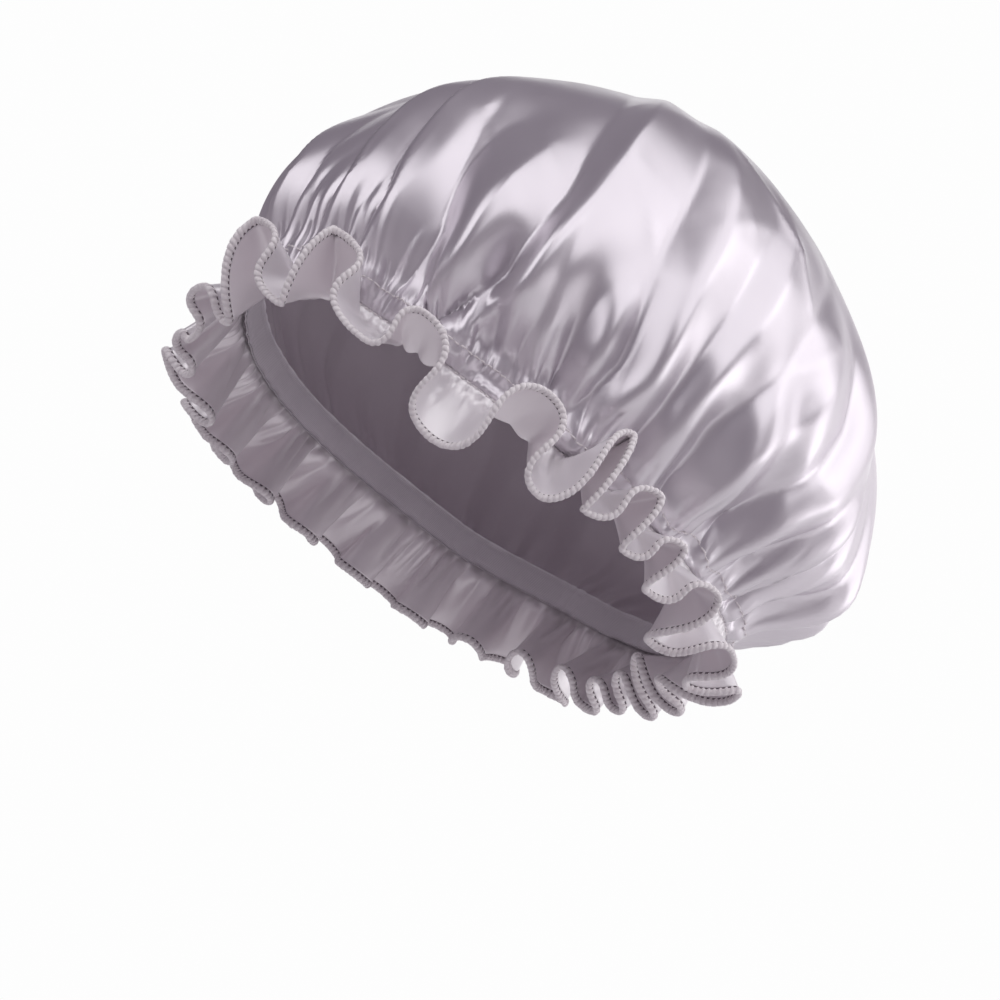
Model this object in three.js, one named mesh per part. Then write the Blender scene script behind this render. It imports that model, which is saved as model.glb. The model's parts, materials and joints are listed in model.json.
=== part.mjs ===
// Gathered satin shower cap in its worn shape: a doubled cloth disc, drawn in by an elastic under its
// frilled and overlocked edge.
// Millimetres. x points to the wearer's left, y to the back of the head and z to the top.
// Everything is laid out on the plane of the opening first, and the last group tilts that plane.
import * as THREE from 'three';

// Opening: the egg-shaped loop in which the elastic holds the cloth round the head
const openingLength = 204;
const openingBreadth = 160;
const openingTilt = 43.7;
const templeDip = 5.8;
const napeRise = 8;
const napeReachShare = 0.55;
const browNarrowShare = 0.05;

// Crown: a puffed dome, widest a little above the opening, whose folds meet forward of its middle
const crownLength = 243;
const crownBreadth = 206;
const crownRise = 116;
const crownDrop = 42;
const crownLift = 21.5;
const crownSetback = 8;
const foldMeetingForward = 22;
const crownPuffShare = 0.13;

// Folds of the crown: each starts at the elastic, stands highest at the puff and dies out towards the top
const foldDepthShare = 0.21;
const foldDepthMost = 6.5;
const foldStartShare = 0.08;
const longFoldShare = 0.85;
const shortFoldShare = 0.5;

// Cloths
const satinThickness = 0.4;
const liningThickness = 0.3;
const clothGap = 0.4;

// Elastic and the tape that closes its casing against the lining
const elasticWidth = 6;
const elasticThickness = 1;
const elasticLap = 14;
const stitchMargin = 0.8;
const tapeThickness = 0.5;
const tapeSelvedge = 1.4;
const tapeEndGap = 0.6;
const seamGap = 0.4;

// Frill and its overlocked edge
const frillDepth = 29;
const overlockWidth = 3.2;
const frillLean = 97;
const frillCurlShare = 0.3;

// Flutes of the frill from the wearer's right temple over the brow to behind the left ear.
// Each row holds where a crest and the trough after it lie on the free edge, as shares of the turn
// round the opening, counted from the middle of the brow, and how far each swings out, as shares of a
// right angle from straight down.
const fluteShares = [
  [-0.165, 0.45, -0.139, -0.12],
  [-0.116, 0.45, -0.092, 0],
  [-0.072, 0.24, -0.048, 0.1],
  [-0.008, 0.48, 0.006, 0.15],
  [0.018, 1.15, 0.0545, 0.53],
  [0.0575, 1.39, 0.1037, 0.66],
  [0.1206, 1.15, 0.155, 0.27],
  [0.1823, 1.25, 0.2071, 0.48],
  [0.2242, 1.52, 0.2256, 0.63],
  [0.2471, 1.16, 0.252, 0.58],
  [0.2703, 0.96, 0.2769, 0.45],
  [0.3002, 0.89, 0.3161, 0.06],
  [0.3349, 0.7, 0.368, 0.13],
  [0.374, 0.58, 0.398, -0.25],
];

// The flutes at the nape and round the right ear are even. At the nape they are tucked in to the neck.
const napeFlutes = 11;
const napeStartShare = 0.42;
const napeCrestShare = 0.52;
const napeTroughShare = 0.02;
const napeTuckShare = 0.55;
const napeMiddleShare = 0.5;
const napeTuckEndShare = 0.64;
const napeVarietyShare = 0.1;

// Mesh fineness
const columnsPerFlute = 8;
const crownColumnsPerFlute = 4;
const hoopStations = 96;
const meanderSteps = 32;
const overlockSides = 5;
const lowerRowShares = [0.06, 0.13, 0.24];
const upperRowShares = [0.56, 0.78];
const halvingRowShare = 0.38;
const frillRowShare = 0.55;

const fullTurn = 2 * Math.PI;
const rightAngle = Math.PI / 2;
const nudge = 1e-3;
const up = new THREE.Vector3(0, 0, 1);

const lobes = makeLobes();
const fineColumns = lobes.length / 2 * columnsPerFlute;
const crownColumns = lobes.length / 2 * crownColumnsPerFlute;
const columnStep = columnsPerFlute / crownColumnsPerFlute;
const casingHalfHeight = elasticWidth / 2 + stitchMargin;
const middleInset = satinThickness + clothGap / 2;
const liningInset = satinThickness + clothGap + liningThickness;
const elasticInset = liningInset + clothGap;
const tapeInset = elasticInset + elasticThickness + clothGap;
const lapStep = elasticThickness + clothGap;
const openingRound = measureOpening();
const lapTurn = elasticLap / openingRound;
const crownCentre = new THREE.Vector3(0, crownSetback, crownLift);
const foldMeeting = pointOnDome(foldMeetingDirection());
const frillCloth = frillDepth - overlockWidth - clothGap;

// Crests and troughs of the whole frill, in turn: where each lies on the free edge and on the seam,
// and how far it swings out. The gathers are spread more evenly on the seam than the flutes are.
function makeLobes() {
  const rows = fluteShares.flatMap(([crest, crestSwing, trough, troughSwing]) => [
    { edge: crest, swing: crestSwing * rightAngle },
    { edge: trough, swing: troughSwing * rightAngle },
  ]);
  const pitch = (1 + rows[0].edge - napeStartShare) / napeFlutes;
  for (let i = 0; i < napeFlutes; i += 1) {
    const crest = napeStartShare + i * pitch;
    const variety = napeVarietyShare * Math.sin(crest * fullTurn * napeFlutes / 2);
    const free = smooth((crest - napeMiddleShare) / (napeTuckEndShare - napeMiddleShare));
    const tuck = napeTuckShare * (1 - free);
    rows.push({ edge: crest, swing: (napeCrestShare + variety - tuck) * rightAngle });
    const trough = crest + pitch * (1 + variety) / 2;
    rows.push({ edge: trough, swing: (napeTroughShare - variety - tuck) * rightAngle });
  }
  const seam = evened(evened(rows.map((row) => row.edge)));
  return rows.map((row, i) => ({ ...row, seam: seam[i] }));
}

// Each turn of a closed list, drawn half way to the middle of its neighbours
function evened(turns) {
  const count = turns.length;
  return turns.map((turn, i) => {
    const before = i === 0 ? turns[count - 1] - 1 : turns[i - 1];
    const after = i === count - 1 ? turns[0] + 1 : turns[i + 1];
    return (before + 2 * turn + after) / 4;
  });
}

function smooth(value) {
  const held = THREE.MathUtils.clamp(value, 0, 1);
  return held * held * (3 - 2 * held);
}

// A point of the elastic's line, moved up or down and in from it
function hoopPoint(turn, inset = 0, height = 0) {
  const point = openingPoint(turn);
  point.z += height;
  return point.addScaledVector(outwardAt(turn), -inset);
}

function openingPoint(turn) {
  const angle = fullTurn * turn;
  const x = openingBreadth / 2 * Math.sin(angle) * (1 - browNarrowShare * Math.cos(angle));
  const y = -openingLength / 2 * Math.cos(angle);
  const dip = templeDip * Math.sin(2 * angle) * Math.sin(angle);
  const rise = napeRise * smooth(1 - (1 + Math.cos(angle)) / napeReachShare);
  return new THREE.Vector3(x, y, rise - dip);
}

function outwardAt(turn) {
  const along = openingPoint(turn + nudge).sub(openingPoint(turn - nudge));
  return along.cross(up).normalize();
}

function measureOpening() {
  let length = 0;
  for (let i = 0; i < hoopStations; i += 1) {
    const here = openingPoint(i / hoopStations);
    length += here.distanceTo(openingPoint((i + 1) / hoopStations));
  }
  return length;
}

function foldMeetingDirection() {
  const forward = (foldMeetingForward + crownSetback) / (crownLength / 2);
  const rise = crownRise * Math.sqrt(1 - forward * forward);
  return new THREE.Vector3(0, -foldMeetingForward - crownSetback, rise).normalize();
}

// Distance from the crown's centre to the dome along a direction
function domeReach(direction) {
  const riseOrDrop = direction.z > 0 ? crownRise : crownDrop;
  const x = direction.x / (crownBreadth / 2);
  const y = direction.y / (crownLength / 2);
  const z = direction.z / riseOrDrop;
  return 1 / Math.hypot(x, y, z);
}

function pointOnDome(direction) {
  return crownCentre.clone().addScaledVector(direction, domeReach(direction));
}

// Turn round the opening of a place counted in columns, with the lobes that it lies between.
// Away from the seam the cloth meanders, so its place along the turn runs ahead and falls back.
function placeOf(column, depth) {
  const perLobe = columnsPerFlute / 2;
  const count = lobes.length;
  const lap = Math.floor(column / fineColumns);
  const steps = (column - lap * fineColumns) / perLobe;
  const from = Math.min(Math.floor(steps), count - 1);
  const to = (from + 1) % count;
  const share = steps - from;
  const wave = meander(share);
  const start = THREE.MathUtils.lerp(lobes[from].seam, lobes[from].edge, depth);
  const end = THREE.MathUtils.lerp(lobes[to].seam, lobes[to].edge, depth) + (to === 0 ? 1 : 0);
  const crest = (from % 2 === 0 ? from : from + 1) % count;
  const before = lobes[(crest + count - 1) % count].seam;
  const after = lobes[crest + 1].seam;
  return {
    turn: lap + THREE.MathUtils.lerp(start, end, THREE.MathUtils.lerp(share, wave.along, depth)),
    swing: THREE.MathUtils.lerp(lobes[from].swing, lobes[to].swing, wave.across),
    ridge: from % 2 === 0 ? 1 - share : share,
    longFold: crest % 4 === 0,
    spread: ((after - before + 1) % 1) * openingRound,
  };
}

// Half of a sine-generated curve, the line that a strip of cloth takes when it is pushed together
// lengthwise: how far along and how far across it has come, both from 0 to 1
function meander(share) {
  const lean = THREE.MathUtils.degToRad(frillLean);
  const total = { along: 0, across: 0 };
  const part = { along: 0, across: 0 };
  for (let i = 0; i < meanderSteps; i += 1) {
    const middle = (i + 0.5) / meanderSteps;
    const angle = lean * Math.sin(Math.PI * middle);
    total.along += Math.cos(angle);
    total.across += Math.sin(angle);
    const done = THREE.MathUtils.clamp(share * meanderSteps - i, 0, 1);
    part.along += done * Math.cos(angle);
    part.across += done * Math.sin(angle);
  }
  return { along: part.along / total.along, across: part.across / total.across };
}

// Height of the crown's folds above the smooth dome
function foldHeight(place, rise) {
  const depth = Math.min(foldDepthMost, foldDepthShare * place.spread);
  const reach = place.longFold ? longFoldShare : shortFoldShare;
  const growing = smooth(rise / foldStartShare);
  const fading = 1 - smooth((rise - foldStartShare) / (reach - foldStartShare));
  return depth * growing * fading * (smooth(place.ridge) - 0.5);
}

// Middle surface between the two cloths of the crown. A rise from -1 to 0 goes up the casing from its
// lower to its upper stitch row, and from 0 to 1 over the puff to where the folds meet.
function crownPoint(column, rise) {
  const place = placeOf(column * columnStep, 0);
  if (rise <= 0) {
    return hoopPoint(place.turn, middleInset, casingHalfHeight * (1 + 2 * rise));
  }
  const start = hoopPoint(place.turn, middleInset, casingHalfHeight).sub(crownCentre);
  const nearReach = start.length();
  const from = start.normalize();
  const to = foldMeeting.clone().sub(crownCentre).normalize();
  const angle = from.angleTo(to);
  const direction = from.multiplyScalar(Math.sin((1 - rise) * angle) / Math.sin(angle));
  direction.addScaledVector(to, Math.sin(rise * angle) / Math.sin(angle));
  direction.normalize();
  const puff = smooth(rise / crownPuffShare);
  const reach = THREE.MathUtils.lerp(nearReach, domeReach(direction), puff);
  return crownCentre.clone().addScaledVector(direction, reach + foldHeight(place, rise));
}

// Middle surface between the two cloths of the frill; height is 0 at the free edge and 1 at the seam
function frillPoint(column, height) {
  const depth = 1 - height;
  const place = placeOf(column, depth);
  const outward = outwardAt(place.turn);
  const point = hoopPoint(place.turn, middleInset, -casingHalfHeight - seamGap);
  const pieces = meanderSteps / 2;
  for (let i = 0; i < pieces; i += 1) {
    const middle = depth * (i + 0.5) / pieces;
    const angle = place.swing * smooth(middle / frillCurlShare);
    const length = frillCloth * depth / pieces;
    point.addScaledVector(up, -length * Math.cos(angle));
    point.addScaledVector(outward, length * Math.sin(angle));
  }
  return point;
}

function faceOf(surface, column, row) {
  const along = surface(column + nudge, row).sub(surface(column - nudge, row));
  const across = surface(column, row + nudge).sub(surface(column, row - nudge));
  return along.cross(across).normalize();
}

// One closed sheet between two offsets from a surface.
// rows lists where the rows lie and how many columns each has; a last row of one column is a point.
function sheetGeometry(surface, finest, rows, outer, inner) {
  const positions = [];
  const index = [];
  const skins = [outer, inner].map((offset) => rows.map(({ at, columns }) => {
    const row = [];
    for (let i = 0; i < columns; i += 1) {
      const column = i * finest / columns;
      const point = surface(column, at);
      const face = columns === 1 ? point.clone().sub(crownCentre).normalize() : faceOf(surface, column, at);
      point.addScaledVector(face, offset);
      row.push(positions.length / 3);
      positions.push(point.x, point.y, point.z);
    }
    return row;
  }));
  skins.forEach((skin, side) => {
    const add = (a, b, c) => index.push(...(side === 0 ? [a, b, c] : [a, c, b]));
    for (let i = 0; i + 1 < skin.length; i += 1) {
      stitchRows(skin[i], skin[i + 1], add);
    }
  });
  closeRim(skins[0][0], skins[1][0], (a, b, c) => index.push(a, b, c));
  const last = rows.length - 1;
  if (rows[last].columns > 1) {
    closeRim(skins[0][last], skins[1][last], (a, b, c) => index.push(a, c, b));
  }
  return geometryFrom(positions, index);
}

// Triangles between a row and the next, which has as many points, half as many, or one
function stitchRows(low, high, add) {
  const count = low.length;
  const ratio = count / high.length;
  for (let i = 0; i < count; i += 1) {
    const next = (i + 1) % count;
    if (high.length === 1) {
      add(low[i], low[next], high[0]);
    } else if (ratio === 1) {
      add(low[i], low[next], high[next]);
      add(low[i], high[next], high[i]);
    } else if (i % 2 === 0) {
      const above = i / 2;
      const aboveNext = (above + 1) % high.length;
      add(low[i], low[next], high[above]);
      add(low[next], high[aboveNext], high[above]);
      add(low[next], low[(i + 2) % count], high[aboveNext]);
    }
  }
}

function closeRim(outer, inner, add) {
  for (let i = 0; i < outer.length; i += 1) {
    const next = (i + 1) % outer.length;
    add(outer[i], inner[i], inner[next]);
    add(outer[i], inner[next], outer[next]);
  }
}

function geometryFrom(positions, index) {
  const geometry = new THREE.BufferGeometry();
  geometry.setAttribute('position', new THREE.Float32BufferAttribute(positions, 3));
  geometry.setIndex(index);
  geometry.computeVertexNormals();
  return geometry;
}

// Solid swept through a list of sections, closed on itself or with flat ends
function sweepGeometry(sections, closed) {
  const positions = [];
  const index = [];
  const sides = sections[0].length;
  const count = sections.length;
  sections.forEach((section) => section.forEach((point) => positions.push(point.x, point.y, point.z)));
  const at = (station, side) => (station % count) * sides + side % sides;
  for (let i = 0; i < (closed ? count : count - 1); i += 1) {
    for (let j = 0; j < sides; j += 1) {
      index.push(at(i, j), at(i, j + 1), at(i + 1, j + 1));
      index.push(at(i, j), at(i + 1, j + 1), at(i + 1, j));
    }
  }
  if (!closed) {
    for (let j = 1; j + 1 < sides; j += 1) {
      index.push(at(0, 0), at(0, j + 1), at(0, j));
      index.push(at(count - 1, 0), at(count - 1, j), at(count - 1, j + 1));
    }
  }
  return geometryFrom(positions, index);
}

// Section of a flat strip that stands upright on the inside of the cap
function stripSection(turn, inset, thickness, width) {
  return [
    hoopPoint(turn, inset, -width / 2),
    hoopPoint(turn, inset + thickness, -width / 2),
    hoopPoint(turn, inset + thickness, width / 2),
    hoopPoint(turn, inset, width / 2),
  ];
}

// The elastic is cut from a roll, and its ends are lapped at the nape: the last end lies inside the first
function elasticGeometry() {
  const length = 1 + lapTurn;
  const stations = Math.ceil(hoopStations * length);
  const sections = [];
  for (let i = 0; i <= stations; i += 1) {
    const run = length * i / stations;
    const inset = elasticInset + lapStep * smooth((run - 1 + lapTurn) / lapTurn);
    sections.push(stripSection(napeMiddleShare + run, inset, elasticThickness, elasticWidth));
  }
  return sweepGeometry(sections, false);
}

// The tape lies flat over the elastic, and stands off where the elastic's ends are lapped.
// Its own ends meet at the nape.
function tapeGeometry() {
  const start = napeMiddleShare + tapeEndGap / openingRound;
  const length = 1 - 2 * tapeEndGap / openingRound;
  const width = 2 * (casingHalfHeight + tapeSelvedge);
  const sections = [];
  for (let i = 0; i <= hoopStations; i += 1) {
    const turn = start + length * i / hoopStations;
    const fromLap = Math.abs(turn % 1 - napeMiddleShare - lapTurn / 2);
    const standOff = lapStep * (1 - smooth((fromLap - lapTurn) / lapTurn));
    sections.push(stripSection(turn, tapeInset + standOff, tapeThickness, width));
  }
  return sweepGeometry(sections, false);
}

// Thread bead that rolls both raw edges of the frill together
function overlockGeometry() {
  const sections = [];
  const reach = clothGap + overlockWidth / 2;
  for (let column = 0; column < fineColumns; column += 1) {
    const edge = frillPoint(column, 0);
    const inside = frillPoint(column, nudge);
    const away = edge.clone().sub(inside).normalize();
    const face = faceOf(frillPoint, column, nudge);
    const centre = edge.addScaledVector(away, reach);
    const section = [];
    for (let side = 0; side < overlockSides; side += 1) {
      const angle = fullTurn * (side + 0.5) / overlockSides;
      const point = centre.clone().addScaledVector(away, -overlockWidth / 2 * Math.cos(angle));
      section.push(point.addScaledVector(face, overlockWidth / 2 * Math.sin(angle)));
    }
    sections.push(section);
  }
  return sweepGeometry(sections, true);
}

// The crown's columns thin out towards the top, where its folds have died out
function crownRows() {
  return [
    ...[-1, 0, ...lowerRowShares].map((at) => ({ at, columns: crownColumns })),
    { at: halvingRowShare, columns: crownColumns / 2 },
    ...upperRowShares.map((at) => ({ at, columns: crownColumns / 4 })),
    { at: 1, columns: 1 },
  ];
}

function frillRows() {
  return [0, frillRowShare, 1].map((at) => ({ at, columns: fineColumns }));
}

function piece(name, colour, roughness, metalness, geometry) {
  const material = new THREE.MeshStandardMaterial({ color: colour, roughness, metalness });
  const mesh = new THREE.Mesh(geometry, material);
  mesh.name = name;
  return mesh;
}

const outerFace = clothGap / 2 + satinThickness;
const liningFace = -clothGap / 2 - liningThickness;
const crownSheet = (outer, inner) => sheetGeometry(crownPoint, crownColumns, crownRows(), outer, inner);
const frillSheet = (outer, inner) => sheetGeometry(frillPoint, fineColumns, frillRows(), outer, inner);

const cap = new THREE.Group();
cap.rotation.x = -THREE.MathUtils.degToRad(openingTilt);
cap.add(
  piece('crown_shell', 0xbdb5c0, 0.3, 0.4, crownSheet(outerFace, clothGap / 2)),
  piece('crown_lining', 0xb2a9b3, 0.4, 0.3, crownSheet(-clothGap / 2, liningFace)),
  piece('frill_shell', 0xc4bcc6, 0.3, 0.4, frillSheet(outerFace, clothGap / 2)),
  piece('frill_lining', 0xb2a9b3, 0.4, 0.3, frillSheet(-clothGap / 2, liningFace)),
  piece('overlock_edge', 0xc9bcc4, 0.75, 0, overlockGeometry()),
  piece('elastic_band', 0xe8e4e6, 0.8, 0, elasticGeometry()),
  piece('casing_tape', 0xbfb6bf, 0.6, 0, tapeGeometry()),
);

const showerCap = new THREE.Group();
showerCap.add(cap);

export default showerCap;
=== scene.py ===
# Visual model of the gathered satin shower cap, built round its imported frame. Lengths are in metres.
import json
import math

import bpy
import numpy as np
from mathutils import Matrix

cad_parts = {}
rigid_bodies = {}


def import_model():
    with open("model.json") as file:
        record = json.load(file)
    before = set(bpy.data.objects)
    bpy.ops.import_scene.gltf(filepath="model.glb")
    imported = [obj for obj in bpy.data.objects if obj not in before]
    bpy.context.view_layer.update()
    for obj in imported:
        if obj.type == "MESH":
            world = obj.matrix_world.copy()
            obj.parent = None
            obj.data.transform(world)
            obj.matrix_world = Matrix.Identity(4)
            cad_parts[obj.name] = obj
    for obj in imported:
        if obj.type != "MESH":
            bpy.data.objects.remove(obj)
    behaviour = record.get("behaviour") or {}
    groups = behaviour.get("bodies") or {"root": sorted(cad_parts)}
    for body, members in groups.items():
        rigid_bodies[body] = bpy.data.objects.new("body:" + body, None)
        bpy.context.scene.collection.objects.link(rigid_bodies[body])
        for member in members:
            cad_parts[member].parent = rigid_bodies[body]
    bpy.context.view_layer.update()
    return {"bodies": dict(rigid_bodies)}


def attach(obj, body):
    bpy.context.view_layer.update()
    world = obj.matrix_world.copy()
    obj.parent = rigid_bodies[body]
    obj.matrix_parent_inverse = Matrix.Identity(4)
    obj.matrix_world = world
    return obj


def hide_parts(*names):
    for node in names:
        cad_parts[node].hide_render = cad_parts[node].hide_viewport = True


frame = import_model()

# The opening and the dome, as the frame has them
OPENING_LENGTH = 0.204
OPENING_BREADTH = 0.16
OPENING_TILT = math.radians(43.7)
TEMPLE_DIP = 0.0058
NAPE_RISE = 0.008
NAPE_REACH_SHARE = 0.55
BROW_NARROW_SHARE = 0.05
CROWN_LENGTH = 0.243
CROWN_BREADTH = 0.206
CROWN_RISE = 0.116
CROWN_DROP = 0.042
CROWN_CENTRE = np.array([0, 0.008, 0.0215])
FOLD_MEETING_FORWARD = 0.022
CROWN_PUFF_SHARE = 0.13
SIDE_PUFF_SHARE = 0.27
SIDE_PUFF_END = 0.32
SIDE_PUFF_FADE = 0.12
CASING_HALF_HEIGHT = 0.0038
CLOTH_INSET = 0.0006

# Cloths: each is a thin closed sheet on its own side of their middle surface
CLOTH_THICKNESS = 0.00025
CLOTH_SPACE = 0.0001
CROWN_FLAT_RADIUS = 0.208
FRILL_FLAT_WIDTH = 0.0254

# Frill and its flutes: edge turn and swing of each crest and of the trough after it
FRILL_CURL_SHARE = 0.3
FRILL_LEAN = math.radians(97)
MEANDER_POINTS = 513
CURL_POINTS = 201
FLUTE_SHARES = [
    (-0.165, 0.45, -0.139, -0.12),
    (-0.116, 0.45, -0.092, 0),
    (-0.072, 0.24, -0.048, 0.1),
    (-0.008, 0.48, 0.006, 0.15),
    (0.018, 1.15, 0.0545, 0.53),
    (0.0575, 1.39, 0.1037, 0.66),
    (0.1206, 1.15, 0.155, 0.27),
    (0.1823, 1.25, 0.2071, 0.48),
    (0.2242, 1.52, 0.2256, 0.63),
    (0.2471, 1.16, 0.252, 0.58),
    (0.2703, 0.96, 0.2769, 0.45),
    (0.3002, 0.89, 0.3161, 0.06),
    (0.3349, 0.7, 0.368, 0.13),
    (0.374, 0.58, 0.398, -0.25),
]
NAPE_FLUTES = 11
NAPE_START_SHARE = 0.42
NAPE_CREST_SHARE = 0.52
NAPE_TROUGH_SHARE = 0.02
NAPE_TUCK_SHARE = 0.55
NAPE_MIDDLE_SHARE = 0.5
NAPE_TUCK_END_SHARE = 0.64
NAPE_VARIETY_SHARE = 0.1

# Main folds of the crown on the wearer's left: turns at the four rises of FOLD_STATION_SHARES, rise of
# the upper end, height, and reach across on the brow side and on the nape side
FOLD_STATION_SHARES = [0, 0.15, 0.35, 0.6]
FOLDS = [
    (-0.047, -0.034, -0.062, -0.075, 0.5, 0.0064, 0.005, 0.01),
    (-0.016, -0.007, -0.022, -0.03, 0.3, 0.0032, 0.004, 0.006),
    (0.004, 0.007, 0.0, -0.01, 0.22, 0.0028, 0.004, 0.005),
    (0.022, 0.034, 0.012, -0.008, 0.66, 0.0072, 0.005, 0.013),
    (0.044, 0.052, 0.044, 0.03, 0.26, 0.0024, 0.004, 0.006),
    (0.063, 0.073, 0.055, 0.032, 0.72, 0.0092, 0.005, 0.018),
    (0.088, 0.098, 0.09, 0.08, 0.22, 0.0026, 0.004, 0.005),
    (0.108, 0.128, 0.133, 0.133, 0.5, 0.0092, 0.012, 0.01),
    (0.13, 0.16, 0.172, 0.178, 1.0, 0.01, 0.006, 0.016),
    (0.179, 0.173, 0.175, 0.176, 0.5, 0.0048, 0.004, 0.01),
    (0.196, 0.203, 0.206, 0.206, 0.3, 0.0036, 0.005, 0.007),
    (0.211, 0.228, 0.232, 0.242, 1.0, 0.0092, 0.008, 0.014),
    (0.252, 0.248, 0.264, 0.289, 0.86, 0.0078, 0.01, 0.011),
    (0.279, 0.283, 0.318, 0.35, 0.6, 0.008, 0.012, 0.01),
    (0.317, 0.33, 0.37, 0.385, 0.66, 0.0068, 0.009, 0.012),
    (0.344, 0.362, 0.384, 0.4, 0.4, 0.0056, 0.008, 0.009),
    (0.374, 0.39, 0.405, 0.415, 0.4, 0.0056, 0.007, 0.008),
    (0.404, 0.412, 0.424, 0.438, 0.5, 0.007, 0.007, 0.008),
    (0.448, 0.448, 0.448, 0.452, 0.52, 0.0052, 0.008, 0.008),
    (0.476, 0.47, 0.462, 0.46, 0.36, 0.0044, 0.006, 0.006),
]

# Sharp valleys where two folds meet: turns at the four rises, rise of the upper end, depth and half width
VALLEYS = [
    (0.02, 0.035, 0.014, 0.0, 0.46, 0.0034, 0.006),
    (0.064, 0.073, 0.056, 0.04, 0.5, 0.004, 0.006),
    (0.116, 0.108, 0.09, 0.06, 0.56, 0.0032, 0.006),
    (0.178, 0.173, 0.174, 0.174, 0.52, 0.0026, 0.005),
    (0.304, 0.314, 0.349, 0.362, 0.58, 0.0054, 0.007),
    (0.326, 0.346, 0.374, 0.39, 0.34, 0.0048, 0.006),
    (0.358, 0.376, 0.396, 0.404, 0.42, 0.005, 0.006),
    (0.386, 0.391, 0.403, 0.414, 0.36, 0.0046, 0.006),
    (0.428, 0.432, 0.436, 0.444, 0.4, 0.005, 0.007),
    (0.464, 0.462, 0.458, 0.456, 0.36, 0.0046, 0.007),
]
VALLEY_BLUNTNESS = 0.0011

# Pockets between the folds: turn, rise, half reach in rise, half width and depth
POCKETS = [
    (0.104, 0.06, 0.07, 0.006, 0.003),
    (0.149, 0.12, 0.1, 0.007, 0.006),
    (0.152, 0.05, 0.06, 0.005, 0.003),
    (0.19, 0.12, 0.12, 0.007, 0.006),
    (0.216, 0.17, 0.14, 0.006, 0.0048),
    (0.241, 0.17, 0.14, 0.009, 0.0076),
    (0.265, 0.17, 0.14, 0.009, 0.007),
    (0.301, 0.24, 0.12, 0.008, 0.0066),
    (0.307, 0.06, 0.08, 0.006, 0.003),
    (0.334, 0.07, 0.1, 0.006, 0.003),
]

# Creases left from storage, near the top: turn and rise of both ends, height and reach across
CREASES = [
    (0.181, 0.46, 0.203, 0.4, 0.0007, 0.004),
    (0.203, 0.4, 0.215, 0.33, 0.0006, 0.004),
    (0.181, 0.48, 0.217, 0.47, 0.0008, 0.003),
    (0.25, 0.73, 0.276, 0.64, 0.0008, 0.003),
    (0.276, 0.64, 0.29, 0.56, 0.001, 0.003),
    (0.29, 0.56, 0.3, 0.47, 0.001, 0.004),
    (0.3, 0.47, 0.328, 0.47, 0.0008, 0.004),
    (0.267, 0.33, 0.297, 0.35, 0.0009, 0.004),
    (0.297, 0.35, 0.326, 0.46, 0.0009, 0.004),
    (0.236, 0.48, 0.252, 0.53, 0.0006, 0.003),
    (0.252, 0.53, 0.269, 0.57, 0.0006, 0.003),
    (0.075, 0.42, 0.132, 0.28, 0.0012, 0.006),
    (0.09, 0.56, 0.16, 0.66, 0.0006, 0.004),
    (0.12, 0.46, 0.15, 0.36, 0.0006, 0.004),
    (0.2, 0.72, 0.236, 0.78, 0.0006, 0.004),
    (0.33, 0.24, 0.352, 0.2, 0.001, 0.003),
    (0.312, 0.17, 0.318, 0.23, 0.001, 0.003),
]

# Chance folds on the hidden sides: the ranges of reach and height of two kinds, and of what both share
FAR_FOLDS = 17
FAR_FOLDS_START = 0.505
FAR_FOLDS_SPAN = 0.43
FAR_FOLDS_SEED = 7
LONG_FAR_FOLDS = ((0.6, 0.9), (0.004, 0.0056))
SHORT_FAR_FOLDS = ((0.25, 0.4), (0.0018, 0.003))
FAR_FOLD_JITTER = 0.2
FAR_FOLD_DRIFT = 0.025
FAR_FOLD_DRIFT_SHARES = (0, 0.4, 0.8, 1)
FAR_FOLD_SIDES = (0.007, 0.014)

CAMERA_AZIMUTH = math.radians(55.62)
CAMERA_ELEVATION = math.radians(4.9)
CAMERA_DISTANCE = 1.5
CAMERA_LENS = 165.24
CAMERA_SHIFT = (0.01788, -0.02877)
CAMERA_SENSOR = 36
CAMERA_REACH = 10

# Studio: each lamp has its azimuth and elevation in degrees, its distance, its size and its power
LAMPS = [
    ("right_softbox", 132, 46, 1.5, (2.3, 1.8), 14.8),
    ("right_panel", 160, -8, 1.5, (1.2, 1.7), 6.6),
    ("back_panel", -158, -12, 1.6, (1.0, 1.2), 2.5),
    ("front_softbox", 6, 54, 1.5, (1.3, 1.5), 7.2),
    ("low_panel", 140, -16, 1.5, (1.8, 0.45), 1.6),
]
WORLD_SEEN = (0.985, 0.985, 0.985)
WORLD_LIGHT = (0.3, 0.27, 0.3)
WALL_REACH = 3.6
WALL_COLUMNS = 48
WALL_ROWS = 24
WALL_LOW = (0.52, 0.485, 0.51)
WALL_HIGH = (0.19, 0.165, 0.2)
WALL_HIGH_SHARE = 0.75
BACK_AZIMUTH = math.radians(-128)
BACK_HALF_WIDTH = math.radians(14)
BACK_TOP = math.radians(22)
FLOOR_RADIUS = 1.9
FLOOR_CORNERS = 96
FLOOR_HEIGHT = -0.75
FLOOR_PAINT = (0.86, 0.85, 0.86)
FLOOR_ROUGHNESS = 0.9
FLOOR_WHITE = (0.97, 0.96, 0.97)
FLOOR_WHITE_SHARE = 0.38

CLOTH_PLACE = "cloth_place"
TURN = 2 * math.pi
RIGHT_ANGLE = math.pi / 2
TINY = 1e-12
NUDGE = 1e-4


def smooth(value):
    held = np.clip(value, 0, 1)
    return held * held * (3 - 2 * held)


def grown(value, start, span):
    """From 0, up to a start, smoothly to 1, a span beyond it."""
    return smooth((value - start) / span)


def faded(value, start, span):
    return 1 - grown(value, start, span)


def lerp(a, b, share):
    return a + (b - a) * share


def length(vectors):
    return np.linalg.norm(vectors, axis=-1)


def unit(vectors):
    return vectors / np.maximum(length(vectors), TINY)[..., None]


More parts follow.
